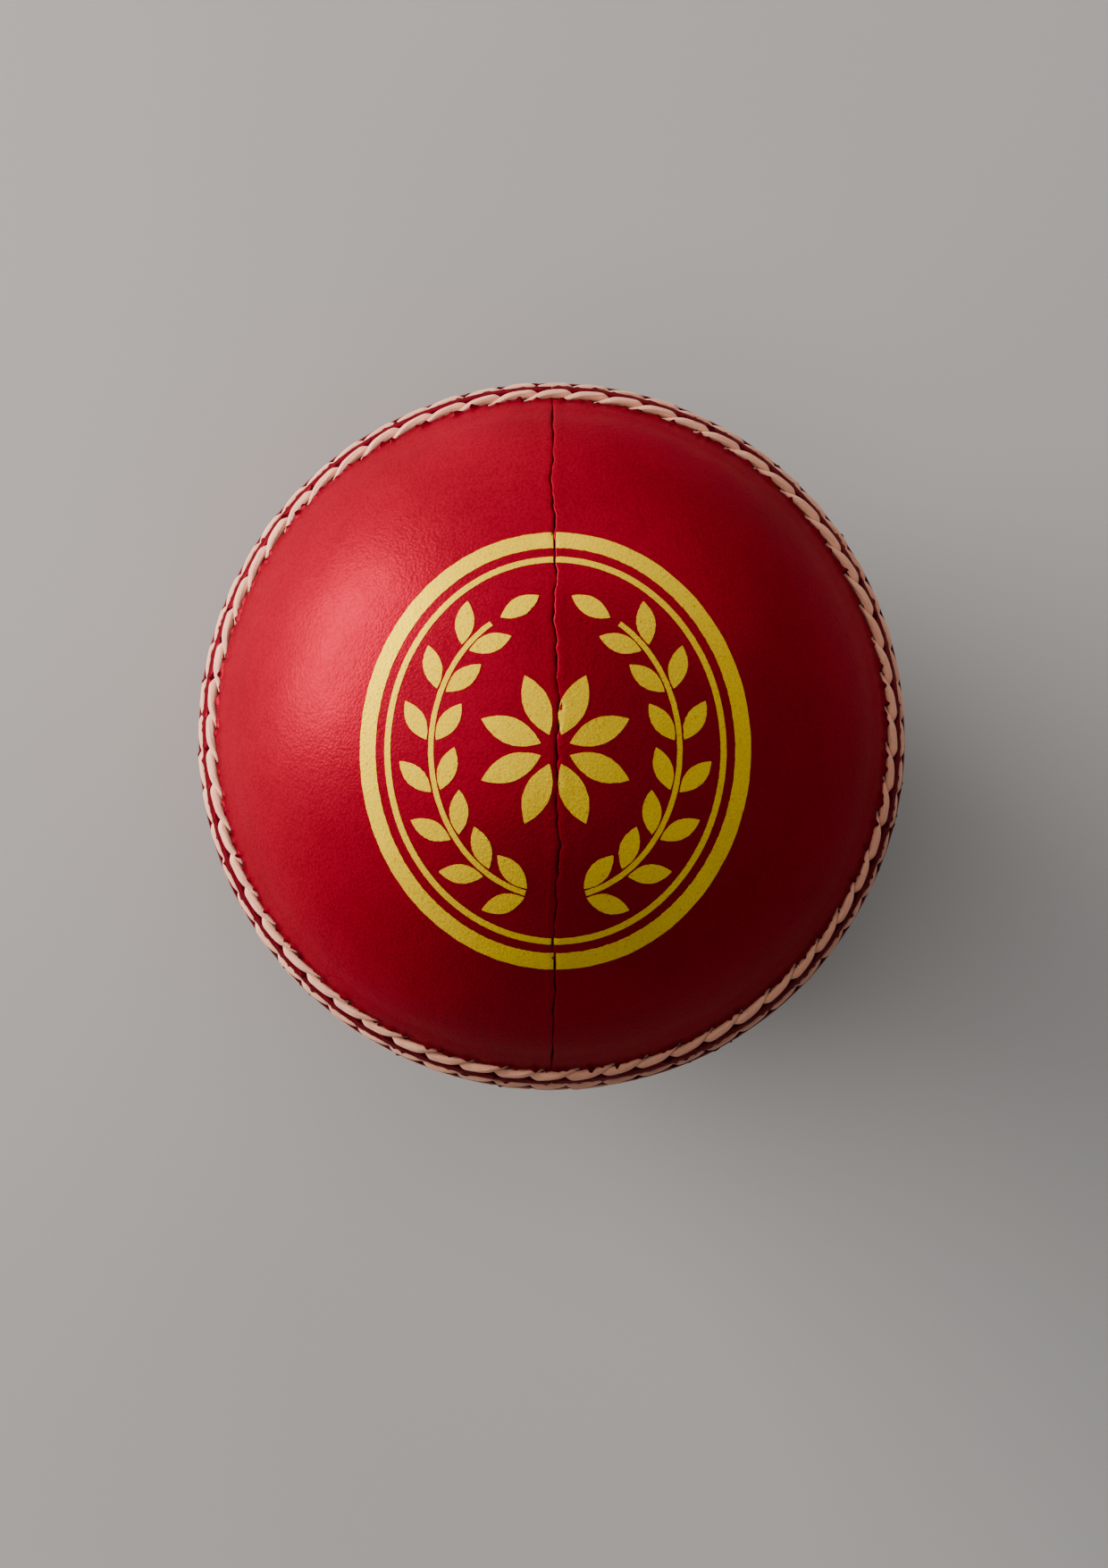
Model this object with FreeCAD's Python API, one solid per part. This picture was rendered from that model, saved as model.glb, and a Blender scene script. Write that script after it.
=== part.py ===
"""Four-piece cricket ball: layered cork-and-wool core, four leather quarters, six-row primary seam.

Frame: origin at the ball's centre, +Z along the pole axis, which is square to the primary seam.
The upper cup's quarter seam runs along Y over the top, and the lower cup's runs along X underneath.
Sizes are in millimetres and angles in degrees. Each sub-part is written to parts/NODE.step.
"""

import FreeCAD
import Part

import math
import os

Vector = FreeCAD.Vector
CENTRE = Vector(0, 0, 0)
X_AXIS = Vector(1, 0, 0)
Y_AXIS = Vector(0, 1, 0)
Z_AXIS = Vector(0, 0, 1)

# Cover
COVER_R = 35.6  # leather surface away from the seam
LEATHER_T = 3.4
INNER_R = COVER_R - LEATHER_T

# Primary seam of one cup: rows counted outwards from the joint between the two cups
ROW_NAMES = ["lip", "middle", "outer"]
LIP_ROW_ARC = 1.5  # distance of the first row from the joint
ROW_SPACING = 3.95
ROW_ARCS = [LIP_ROW_ARC + ROW_SPACING * n for n in range(len(ROW_NAMES))]
ROW_SWELLS = [0.06, 0.30, 0.17]  # how far the seam lifts the leather at each row
JOINT_SWELL = 0.04
LIP_RISE = 0.20  # leather between the joint and the lip row, above that row's swell
PILLOW_RISE = 0.48  # leather between two rows, above their mean swell
CHANNEL_EDGE_RISE = 0.10
CHANNEL_HALF = 0.95
CHANNEL_DEPTH = 0.44
SHOULDER_RISE = 0.14  # soft ridge just outside the seam
SHOULDER_ARC = 1.9  # its distance past the outer row
SHOULDER_END_ARC = 4.2

# Stitches: a short round head on the joint side and a long tail tucked beside the next head
STITCHES_PER_ROW = 60
STITCH_R = 0.52
STITCH_HEAD = 1.6
STITCH_TAIL = 3.6
STITCH_SLANT = 15.0
STITCH_RISE = 0.16  # centre line above its row's swell

# Quarter seams
SEAM_GROOVE_DEPTH = 0.35
SEAM_GROOVE_SLOPE = 0.35  # half width per unit of height
BACKING_T = 0.8
BACKING_HALF_WIDTH = 7.0
BACKING_LOWEST = 6.0  # how near the backing strip comes to the primary seam

# Hidden thread, bent into staples through the leather
HIDDEN_THREAD_R = 0.35
STAPLE_BEND_R = 0.7
LIP_STAPLE_DEPTH = 1.5  # crown below the plain leather surface
QUARTER_STAPLE_HALF = 1.7
QUARTER_STAPLE_DEPTH = 1.6
QUARTER_STAPLE_PITCH = 6.0  # degrees along the seam
QUARTER_STAPLE_LOWEST = 27.0  # latitude of the last staple at each end

# Core, from the middle out: the nucleus, then windings and cork layers in turn
NUCLEUS_R = 11.5
WINDING_T = 3.3
CORK_T = 2.0
CORK_LAYERS = 3
CORK_STRIPS = 6
CORK_STRIP_GAP = 1.5  # degrees
CORK_LAYER_TURN = 55.0  # each cork layer's axis is tilted this much from the last

# Stamped mark: a generic oval ring, wreath and rosette of pigment foil
FOIL_T = 0.05
FOIL_GAP = 0.3  # half width left bare along the quarter seam
MARK_CENTRE_Y = -2.2
RINGS = [(19.7, 22.0, 1.6), (17.2, 19.5, 0.6)]  # half width, half height and band of each ring
WREATH_RX = 12.5
WREATH_RY = 14.8
WREATH_FIRST = -76.0
WREATH_STEP = 20.0
WREATH_PAIRS = 7
STEM_HALF_WIDTH = 0.26
LEAF_OFFSET = 0.5  # base of a leaf from the middle of the stem
LEAF_LENGTH = 4.4
LEAF_HALF_WIDTH = 0.92
LEAF_SPLAY = 32.0
ROSETTE_R = 8.0
ROSETTE_HOLE = 1.6
ROSETTE_PETALS = 8
ROSETTE_HALF_WIDTH = 1.3


def polar(height, arc):
    """Point of a cup's section at a height over the plain surface and an arc from the joint."""
    angle = arc / COVER_R
    radius = COVER_R + height
    return Vector(radius * math.cos(angle), 0, radius * math.sin(angle))


def arc_edge(start, middle, end):
    return Part.Arc(start, middle, end).toShape()


def seam_outline():
    """Points along the seam's outer outline: each odd one is the middle of an arc."""
    points = [polar(JOINT_SWELL, 0)]
    points.append(polar(ROW_SWELLS[0] + LIP_RISE, (LIP_ROW_ARC - CHANNEL_HALF) / 2))
    for number, (arc, swell) in enumerate(zip(ROW_ARCS, ROW_SWELLS)):
        edge_rise = swell + CHANNEL_EDGE_RISE
        points.append(polar(edge_rise, arc - CHANNEL_HALF))
        points.append(polar(swell - CHANNEL_DEPTH, arc))
        points.append(polar(edge_rise, arc + CHANNEL_HALF))
        if number < len(ROW_ARCS) - 1:
            mean_swell = (swell + ROW_SWELLS[number + 1]) / 2
            points.append(polar(mean_swell + PILLOW_RISE, arc + ROW_SPACING / 2))
    points.append(polar(SHOULDER_RISE, ROW_ARCS[-1] + SHOULDER_ARC))
    points.append(polar(0, ROW_ARCS[-1] + SHOULDER_END_ARC))
    return points


def cup_section():
    """Closed half section of the upper cup, from the joint to the pole."""
    outline = seam_outline()
    edges = [arc_edge(*outline[n:n + 3]) for n in range(0, len(outline) - 2, 2)]
    half_way = (ROW_ARCS[-1] + SHOULDER_END_ARC + COVER_R * math.pi / 2) / 2
    pole = Vector(0, 0, COVER_R)
    edges.append(arc_edge(outline[-1], polar(0, half_way), pole))
    inner_pole = Vector(0, 0, INNER_R)
    inner_edge = Vector(INNER_R, 0, 0)
    diagonal = INNER_R * math.sqrt(0.5)
    edges.append(Part.makeLine(pole, inner_pole))
    edges.append(arc_edge(inner_pole, Vector(diagonal, 0, diagonal), inner_edge))
    edges.append(Part.makeLine(inner_edge, outline[0]))
    return Part.Face(Part.Wire(edges))


def quarter_seam_groove():
    """V-shaped ring round X, which leaves a fine line where two quarters meet."""
    reach = 2 * PILLOW_RISE + SEAM_GROOVE_DEPTH
    half = reach * SEAM_GROOVE_SLOPE
    bottom = COVER_R - SEAM_GROOVE_DEPTH
    points = [Vector(0, 0, bottom), Vector(half, 0, bottom + reach), Vector(-half, 0, bottom + reach)]
    face = Part.Face(Part.makePolygon(points + points[:1]))
    return face.revolve(CENTRE, X_AXIS, 360)


def staple(half_span, leg_length):
    """Thread bent into a U in the XZ plane: crown at z = 0 along X, legs up to leg_length."""
    bend = STAPLE_BEND_R
    flat = half_span - bend
    diagonal = bend * math.sqrt(0.5)
    left_bend = arc_edge(
        Vector(-half_span, 0, bend),
        Vector(-flat - diagonal, 0, bend - diagonal),
        Vector(-flat, 0, 0),
    )
    right_bend = arc_edge(
        Vector(flat, 0, 0),
        Vector(flat + diagonal, 0, bend - diagonal),
        Vector(half_span, 0, bend),
    )
    path = Part.Wire([
        Part.makeLine(Vector(-half_span, 0, leg_length), Vector(-half_span, 0, bend)),
        left_bend,
        Part.makeLine(Vector(-flat, 0, 0), Vector(flat, 0, 0)),
        right_bend,
        Part.makeLine(Vector(half_span, 0, bend), Vector(half_span, 0, leg_length)),
    ])
    end = Part.makeCircle(HIDDEN_THREAD_R, Vector(-half_span, 0, leg_length), Z_AXIS)
    return path.makePipeShell([Part.Wire(end)], True, False)


def lip_staples():
    """Thread passed through both lips, one staple between each two stitches of the lip rows."""
    crown_r = COVER_R - LIP_STAPLE_DEPTH
    leg = LIP_STAPLE_DEPTH + ROW_SWELLS[0] - CHANNEL_DEPTH
    upright = staple(LIP_ROW_ARC, leg)
    upright.rotate(CENTRE, Y_AXIS, 90)  # legs now point along +X and the crown lies along Z
    upright.translate(Vector(crown_r, 0, 0))
    step = 360.0 / STITCHES_PER_ROW
    return [upright.rotated(CENTRE, Z_AXIS, step * (n + 0.5)) for n in range(STITCHES_PER_ROW)]


def quarter_staples():
    """Blind thread across the upper quarter seam: the crown stays inside the leather."""
    crown_r = COVER_R - QUARTER_STAPLE_DEPTH
    down = staple(QUARTER_STAPLE_HALF, crown_r - INNER_R)
    down.rotate(CENTRE, X_AXIS, 180)
    down.translate(Vector(0, 0, crown_r))
    reach = 90 - QUARTER_STAPLE_LOWEST
    count = int(round(2 * reach / QUARTER_STAPLE_PITCH)) + 1
    step = 2 * reach / (count - 1)
    return [down.rotated(CENTRE, X_AXIS, -reach + step * n) for n in range(count)]


def stitch():
    """Thread drawn tight: a body of revolution along X with its head at the low end."""
    head = Part.Ellipse(CENTRE, STITCH_HEAD, STITCH_R)
    tail = Part.Ellipse(CENTRE, STITCH_TAIL, STITCH_R)
    widest = math.pi / 2
    shoulder = 3 * math.pi / 4
    outline = Part.Wire([
        Part.makeLine(Vector(-STITCH_HEAD, 0, 0), Vector(STITCH_TAIL, 0, 0)),
        Part.ArcOfEllipse(tail, 0, widest).toShape(),
        Part.ArcOfEllipse(head, widest, shoulder).toShape(),
        Part.ArcOfEllipse(head, shoulder, math.pi).toShape(),
    ])
    body = Part.Face(outline).revolve(CENTRE, X_AXIS, 360)
    body.translate(Vector((STITCH_HEAD - STITCH_TAIL) / 2, 0, 0))
    return body


def stitch_row(arc, swell):
    """One row of the upper cup: slanted stitches bedded in their channel."""
    latitude = arc / COVER_R
    up = Vector(math.cos(latitude), 0, math.sin(latitude))
    north = Vector(-math.sin(latitude), 0, math.cos(latitude))
    slant = math.radians(STITCH_SLANT)
    along = Y_AXIS * math.cos(slant) + north * math.sin(slant)
    turn = FreeCAD.Rotation(along, up.cross(along), up, "XYZ")
    first = stitch()
    first.Placement = FreeCAD.Placement(up * (COVER_R + swell + STITCH_RISE), turn).multiply(
        first.Placement
    )
    step = 360.0 / STITCHES_PER_ROW
    return [first.rotated(CENTRE, Z_AXIS, step * n) for n in range(STITCHES_PER_ROW)]


def shell(outer_r, inner_r):
    return Part.makeSphere(outer_r).cut(Part.makeSphere(inner_r))


def cork_layer(inner_r, number):
    """Curved cork strips laid side by side round the winding, like the segments of an orange."""
    outer_r = inner_r + CORK_T
    section = Part.Face(Part.Wire([
        arc_edge(Vector(0, 0, outer_r), Vector(outer_r, 0, 0), Vector(0, 0, -outer_r)),
        Part.makeLine(Vector(0, 0, -outer_r), Vector(0, 0, -inner_r)),
        arc_edge(Vector(0, 0, -inner_r), Vector(inner_r, 0, 0), Vector(0, 0, inner_r)),
        Part.makeLine(Vector(0, 0, inner_r), Vector(0, 0, outer_r)),
    ]))
    step = 360.0 / CORK_STRIPS
    strip = section.revolve(CENTRE, Z_AXIS, step - CORK_STRIP_GAP)
    strips = [strip.rotated(CENTRE, Z_AXIS, step * n) for n in range(CORK_STRIPS)]
    tilt = CORK_LAYER_TURN * (number + 1)
    return [s.rotated(CENTRE, X_AXIS, tilt) for s in strips]


def backing_strip():
    """Thin leather strip glued inside the upper cup under its quarter seam."""
    size = 2 * COVER_R
    box = Part.makeBox(
        2 * BACKING_HALF_WIDTH, size, size, Vector(-BACKING_HALF_WIDTH, -size / 2, BACKING_LOWEST)
    )
    return shell(INNER_R, INNER_R - BACKING_T).common(box)


def ellipse_face(radius_x, radius_y):
    """Filled ellipse in the XY plane, taller along Y than it is wide."""
    edge = Part.Ellipse(Vector(0, radius_y, 0), Vector(radius_x, 0, 0), CENTRE).toShape()
    return Part.Face(Part.Wire([edge]))


def leaf_face(base, length, half_width, angle):
    """Pointed leaf between two arcs, growing from its base at an angle from X."""
    tip = Vector(length, 0, 0)
    side = Vector(length / 2, half_width, 0)
    other_side = Vector(length / 2, -half_width, 0)
    face = Part.Face(Part.Wire([arc_edge(CENTRE, side, tip), arc_edge(tip, other_side, CENTRE)]))
    face.rotate(CENTRE, Z_AXIS, angle)
    face.translate(base)
    return face


def right_branch():
    """Leaves in pairs on both sides of a thin stem, curving up the right of the mark."""
    faces = []
    for n in range(WREATH_PAIRS + 1):
        turn = math.radians(WREATH_FIRST + WREATH_STEP * n)
        middle = Vector(WREATH_RX * math.cos(turn), WREATH_RY * math.sin(turn), 0)
        heading = Vector(-WREATH_RX * math.sin(turn), WREATH_RY * math.cos(turn), 0)
        heading.normalize()
        growth = math.degrees(math.atan2(heading.y, heading.x))
        outward = Vector(heading.y, -heading.x, 0)
        if n == WREATH_PAIRS:
            faces.append(leaf_face(middle, LEAF_LENGTH, LEAF_HALF_WIDTH, growth))
            continue
        for side in (1, -1):
            base = middle + outward * (side * LEAF_OFFSET)
            angle = growth - side * LEAF_SPLAY
            faces.append(leaf_face(base, LEAF_LENGTH, LEAF_HALF_WIDTH, angle))
    return faces + [stem_face()]


def stem_face():
    """Thin curved stem under the leaves of the right branch."""
    half = STEM_HALF_WIDTH
    band = ellipse_face(WREATH_RX + half, WREATH_RY + half).cut(
        ellipse_face(WREATH_RX - half, WREATH_RY - half)
    )
    first = math.radians(WREATH_FIRST)
    last = math.radians(WREATH_FIRST + WREATH_STEP * WREATH_PAIRS - WREATH_STEP / 4)
    reach = 2 * COVER_R
    wedge = [CENTRE]
    wedge.append(Vector(reach * math.cos(first), reach * math.sin(first), 0))
    wedge.append(Vector(reach, 0, 0))
    wedge.append(Vector(reach * math.cos(last), reach * math.sin(last), 0))
    return band.common(Part.Face(Part.makePolygon(wedge + wedge[:1])))


def rosette_faces():
    """Ring of petals round the middle of the mark."""
    faces = []
    for n in range(ROSETTE_PETALS):
        angle = 360.0 * (n + 0.5) / ROSETTE_PETALS
        turn = math.radians(angle)
        base = Vector(ROSETTE_HOLE * math.cos(turn), ROSETTE_HOLE * math.sin(turn), 0)
        faces.append(leaf_face(base, ROSETTE_R - ROSETTE_HOLE, ROSETTE_HALF_WIDTH, angle))
    return faces


def foil_mark():
    """Pigment foil pressed on the upper cup: a thin film in the shape of a flat die."""
    faces = rosette_faces()
    for radius_x, radius_y, width in RINGS:
        outer = ellipse_face(radius_x, radius_y)
        faces.append(outer.cut(ellipse_face(radius_x - width, radius_y - width)))
    branch = right_branch()
    faces += branch + [face.mirror(CENTRE, X_AXIS) for face in branch]
    bare = Part.makeBox(
        2 * FOIL_GAP, 4 * COVER_R, 4 * COVER_R, Vector(-FOIL_GAP, -2 * COVER_R, -2 * COVER_R)
    )
    film = shell(COVER_R + FOIL_T, COVER_R).cut(bare)
    solids = []
    for face in faces:
        face.translate(Vector(0, MARK_CENTRE_Y, 0))
        die = face.extrude(Vector(0, 0, 2 * COVER_R))
        solids += film.common(die).Solids
    return solids


def under(shapes):
    """The same pieces on the lower cup: turned over, with the quarter seam along X instead of Y."""
    turned = [s.rotated(CENTRE, X_AXIS, 180) for s in shapes]
    return [s.rotated(CENTRE, Z_AXIS, 90) for s in turned]


def leather_quarters(joint_staples):
    """The four quarters by name, each cut for the hidden thread that passes through it."""
    size = 2 * COVER_R
    right_side = Part.makeBox(size, 2 * size, size, Vector(0, -size, -1))
    cup = cup_section().revolve(CENTRE, Z_AXIS, 360)
    right = cup.common(right_side).cut(quarter_seam_groove())
    left = right.rotated(CENTRE, Z_AXIS, 180)
    back, front = under([right, left])
    blind = quarter_staples()
    pieces = {
        "upper_right_leather_quarter": (right, blind),
        "upper_left_leather_quarter": (left, blind),
        "lower_back_leather_quarter": (back, under(blind)),
        "lower_front_leather_quarter": (front, under(blind)),
    }
    cut = {}
    for name, (quarter, own_thread) in pieces.items():
        near = [s for s in joint_staples + own_thread if s.BoundBox.intersect(quarter.BoundBox)]
        cut[name] = quarter.cut(Part.makeCompound(near)).Solids
    return cut


def core_layers():
    """Nucleus, wool windings and cork layers by name, the last winding left for the backing strips."""
    layers = {"cork_rubber_nucleus": [Part.makeSphere(NUCLEUS_R)]}
    radius = NUCLEUS_R
    for number in range(CORK_LAYERS):
        layers[f"wool_winding_{number + 1}"] = [shell(radius + WINDING_T, radius)]
        radius += WINDING_T
        layers[f"cork_layer_{number + 1}"] = cork_layer(radius, number)
        radius += CORK_T
    strips = [backing_strip()]
    outer = shell(INNER_R, radius).cut(Part.makeCompound(strips + under(strips)))
    layers[f"wool_winding_{CORK_LAYERS + 1}"] = outer.Solids
    return layers


def build():
    """Every sub-part of the ball as a list of solids by node name."""
    joint_staples = lip_staples()
    parts = core_layers()
    parts.update(leather_quarters(joint_staples))
    parts["upper_backing_strip"] = backing_strip().Solids
    parts["lower_backing_strip"] = under([backing_strip()])[0].Solids
    parts["upper_quarter_seam_thread"] = quarter_staples()
    parts["lower_quarter_seam_thread"] = under(quarter_staples())
    parts["lip_joining_thread"] = joint_staples
    for name, arc, swell in zip(ROW_NAMES, ROW_ARCS, ROW_SWELLS):
        parts[f"upper_{name}_stitch_row"] = stitch_row(arc, swell)
        parts[f"lower_{name}_stitch_row"] = under(stitch_row(arc, swell))
    parts["foil_mark"] = foil_mark()
    return parts


def main():
    os.makedirs("parts", exist_ok=True)
    for name, solids in build().items():
        shape = solids[0] if len(solids) == 1 else Part.makeCompound(solids)
        shape.exportStep(f"parts/{name}.step")
        volume = sum(s.Volume for s in solids)
        print(f"{name}: {len(solids)} solids, {volume:.1f} mm3, valid {shape.isValid()}")


if __name__ == "__main__":
    main()
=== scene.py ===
import math

import bpy
import numpy as np
from mathutils import Matrix, Vector


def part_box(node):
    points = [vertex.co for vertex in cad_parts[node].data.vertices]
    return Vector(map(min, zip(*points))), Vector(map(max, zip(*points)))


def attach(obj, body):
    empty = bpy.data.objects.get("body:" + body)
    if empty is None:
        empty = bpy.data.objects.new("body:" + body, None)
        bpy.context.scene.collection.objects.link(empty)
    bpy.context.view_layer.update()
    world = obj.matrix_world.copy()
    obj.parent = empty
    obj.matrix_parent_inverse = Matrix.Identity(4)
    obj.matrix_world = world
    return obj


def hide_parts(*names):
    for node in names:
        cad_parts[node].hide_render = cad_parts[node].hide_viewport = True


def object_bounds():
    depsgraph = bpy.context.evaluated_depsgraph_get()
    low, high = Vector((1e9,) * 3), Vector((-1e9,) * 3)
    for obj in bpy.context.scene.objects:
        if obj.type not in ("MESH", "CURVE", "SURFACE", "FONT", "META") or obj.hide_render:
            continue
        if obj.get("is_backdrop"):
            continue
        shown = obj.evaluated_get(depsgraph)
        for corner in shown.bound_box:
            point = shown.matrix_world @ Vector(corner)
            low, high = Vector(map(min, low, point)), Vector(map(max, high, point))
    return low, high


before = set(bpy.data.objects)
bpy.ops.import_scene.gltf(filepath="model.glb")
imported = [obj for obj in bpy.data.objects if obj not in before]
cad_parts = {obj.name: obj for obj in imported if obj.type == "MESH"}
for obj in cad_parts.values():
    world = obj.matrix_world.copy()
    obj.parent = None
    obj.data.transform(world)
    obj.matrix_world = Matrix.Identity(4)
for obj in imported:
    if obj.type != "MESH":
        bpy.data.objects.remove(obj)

CAD_BOX = [list(corner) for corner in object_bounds()]
SEED = 11
MM = 0.001

# Sizes in millimetres, angles in degrees. A cup's own axes have its pole on +z and its quarter
# seam along y. The arc of a point is its distance from the joint between the cups, along the
# leather.
COVER_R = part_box("upper_right_leather_quarter")[1].z / MM
INNER_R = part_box("wool_winding_4")[1].x / MM
JOINT_GAP = 0.03

# Stitch rows
ROWS = ("lip", "middle", "outer")
CAD_STITCH_HALF = 0.55  # half the thickness of a stitch in the CAD rows
STITCHES = 60
STITCH_REACH = 1.59  # length of a stitch, in steps from one stitch to the next
STITCH_HALF_WIDTH = 0.58
STITCH_SLANT = 1.50  # how far a stitch crosses its row from head to tail
STITCH_BOW = 0.16  # of its middle line, sideways
STITCH_FLATNESS = 0.92  # its height over its width
HEAD_WIDTH = 0.40  # at its very start, as a share of the full width
TAIL_TAPER = 0.48  # share of the width lost at its very end
FLUTES = ((5, 0.030, 0.0), (9, 0.022, 1.0), (13, 0.012, 0.0))  # folds around, height, phase
CENTRE_LIFTS = (0.26, 0.20, 0.28)  # middle line of each row's stitches over the swollen leather
SUNK_END = -0.30  # the same at the two ends of a stitch
STITCH_RINGS = 30
STITCH_SIDES = 44

# Leather cover
SWELLS = (0.14, 0.44, 0.22)  # how far the seam lifts the leather at each row
JOINT_SWELL = 0.10
SWELL_END = 4.3  # past the outer row
CHANNEL_DEPTH = 0.50  # under a stitch
PILLOW = 0.72  # between two rows
PILLOW_WIDTH = 1.25
JOINT_LIP = 0.22  # rounded edge of a cup at the joint
JOINT_DEPTH = 0.42
JOINT_WIDTH = 0.16
LIP = 0.12  # leather crowding up beside a stitch
TORN = 0.10  # raggedness of that lip
OUTER_TORN = 0.08  # added to it on the pole side of the outer row
HOLE_DEPTH = 0.16
HOLE_WIDTH = 0.30
HOLES_ACROSS = (-0.72, 0.86)  # place of the holes at a stitch's head and tail, across its row
# Height, wavelength, number and seed of the plane waves that make the leather uneven
RELIEF = ((0.035, 17.0, 14, 1), (0.007, 5.5, 18, 2), (0.0025, 1.7, 24, 3))

# How dark the leather is painted with shade, from 0 to 1, and how far that painted shade reaches
PILLOW_SHADE = 0.72
STITCH_SHADE, STITCH_SHADE_REACH = 0.62, 0.75
POLE_SHADE, POLE_SHADE_REACH = 0.50, 1.8  # on the pole side of the outer row

# Quarter seam
SEAM_OFFSET = 0.45  # of its middle line from the middle of the cup
SEAM_GAP = 0.04
GROOVE_DEPTH = 0.24
GROOVE_HALF = 0.09
SEAM_RIDGE = 0.03  # leather raised beside the groove
SHIFT_REACH = 5.0  # how far from the seam the mesh bends to follow it

# Mesh of a quarter
COLUMNS = 480
HALVINGS = 5  # times the columns are thinned out towards the pole
THINNING_R = 17.0  # distance from the pole axis where that first happens
FINE_STEP = 0.19
FINE_END = 4.5  # past the outer row
STEP_GROWTH = 1.06
LONGEST_STEP = 0.42
EDGE_STEP = 0.0011  # angle of the first column from the quarter seam, in radians
EDGE_GROWTH = 1.3
INNER_RINGS = 12

# Foil mark, as in the CAD
MARK_CENTRE = (0.45, -2.2)
RINGS = ((19.7, 22.0, 1.6), (17.2, 19.5, 0.6))  # half axes of each oval and width of its band
WREATH_RX = 12.5
WREATH_RY = 14.8
WREATH_FIRST = -76.0  # angle of the lowest pair of leaves
WREATH_STEP = 20.0
WREATH_PAIRS = 7
STEM_HALF = 0.26
LEAF_OFFSET = 0.5
LEAF_LENGTH = 4.4
LEAF_HALF = 0.92
LEAF_SPLAY = 32.0
ROSETTE_R = 8.0
ROSETTE_HOLE = 1.6
PETALS = 8
PETAL_HALF = 1.3
FOIL_LIFT = 0.035  # top of the film over the leather
FOIL_SINK = 0.06  # underside of the film below it
FRAY = 0.007  # height of each of the small waves along the film's edges
FRAY_WAVES = 6
STRIP_COLUMNS = 7
RING_POINTS = 260
STEM_POINTS = 130
LEAF_POINTS = 26

# Camera: its distance, and the point it looks at, from the middle of the ball in radii
CAMERA_DISTANCE = 30
CAMERA_TARGET = (0.0076, -0.1327, 0)
CAMERA_TILT = 1.6  # off the pole axis
CAMERA_SWING = 4  # of that tilt, from -y towards +x
CAMERA_LENS = 243.2
FLOOR_REACH = 0.75  # half the floor's side, in metres


# ---------------------------------------------------------------- rows and noise


def row_arc(node):
    """Distance of a stitch row from the joint, along the leather."""
    low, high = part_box(node)
    height = abs(low.z + high.z) / 2 / MM
    return math.atan2(height, high.x / MM - CAD_STITCH_HALF) * COVER_R


ROW_ARCS = [row_arc(f"upper_{name}_stitch_row") for name in ROWS]


def smooth(low, high, value):
    t = np.clip((value - low) / (high - low), 0.0, 1.0)
    return t * t * (3 - 2 * t)


def bell(distance, width):
    return np.exp(-((distance / width) ** 2))


def waves(points, wavelength, count, seed):
    """Smooth random relief of about unit height from plane waves in random directions."""
    rng = np.random.default_rng(SEED + seed)
    total = np.zeros(len(points))
    for _ in range(count):
        way = rng.normal(size=3)
        way *= 2 * math.pi / (wavelength * rng.uniform(0.75, 1.35) * np.linalg.norm(way))
        total += np.cos(points @ way + rng.uniform(0, 2 * math.pi))
    return total * math.sqrt(2.0 / count)


# ---------------------------------------------------------------- the leather surface


def wander(y, cup):
    """Sideways place of a quarter seam along its length."""
    turn = 2.3 * cup
    line = SEAM_OFFSET + 0.24 * np.sin(0.10 * y + 2.0 + turn) + 0.14 * np.sin(0.41 * y + 0.5 + turn)
    small = 0.10 * np.sin(0.93 * y + turn) + 0.07 * np.sin(2.1 * y + 1.0 + turn)
    small += 0.05 * np.sin(4.3 * y + 2.0)
    return (line + small) * (1 - np.minimum(1, np.abs(y) / COVER_R) ** 6)


def swell(arc):
    """How far the seam lifts the leather, softened between the rows."""
    arcs = [0.0, *ROW_ARCS, ROW_ARCS[-1] + SWELL_END]
    knots = np.linspace(0, arcs[-1] + 3, 400)
    raw = np.interp(knots, arcs, [JOINT_SWELL, *SWELLS, 0.0])
    kernel = np.hanning(41)
    padded = np.pad(raw, 20, mode="edge")
    soft = np.convolve(padded, kernel / kernel.sum(), mode="valid")
    return np.interp(arc, knots, soft)


def stitch_line(t):
    """A stitch's middle line across the row and half width, from its head (0) to its tail (1)."""
    across = STITCH_SLANT * (t - 0.5) - STITCH_BOW * np.sin(math.pi * t) + STITCH_BOW / 2
    head = HEAD_WIDTH + (1 - HEAD_WIDTH) * smooth(-0.04, 0.30, t)
    tail = 1 - TAIL_TAPER * smooth(0.45, 1.0, t)
    return across, STITCH_HALF_WIDTH * head * tail


def stitch_gap(angle, across):
    """Distance from the nearest stitch's edge in a row, negative under the stitch."""
    pitch = 2 * math.pi / STITCHES
    phase = angle / pitch - np.round(angle / pitch)
    gap = np.full(len(angle), 9.0)
    for step in (-1, 0, 1):
        t = (phase + step) / STITCH_REACH + 0.5
        middle, half = stitch_line(np.clip(t, 0, 1))
        beyond = (np.abs(t - 0.5) - 0.5) * STITCH_REACH * pitch * COVER_R
        sideways = np.abs(across - middle)
        inside = sideways - half
        outside = np.hypot(np.maximum(inside, 0), np.maximum(beyond, 0))
        gap = np.minimum(gap, np.where(beyond > 0, np.maximum(outside, inside), inside))
    return gap


def stitch_phase(angle, arc):
    """Distance along a row to the middle of the nearest stitch, and that stitch's number."""
    pitch = 2 * math.pi / STITCHES
    turns = angle / pitch
    number = np.round(turns)
    radius = COVER_R * np.cos(arc / COVER_R)
    return (turns - number) * pitch * radius, number.astype(int) % STITCHES


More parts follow.
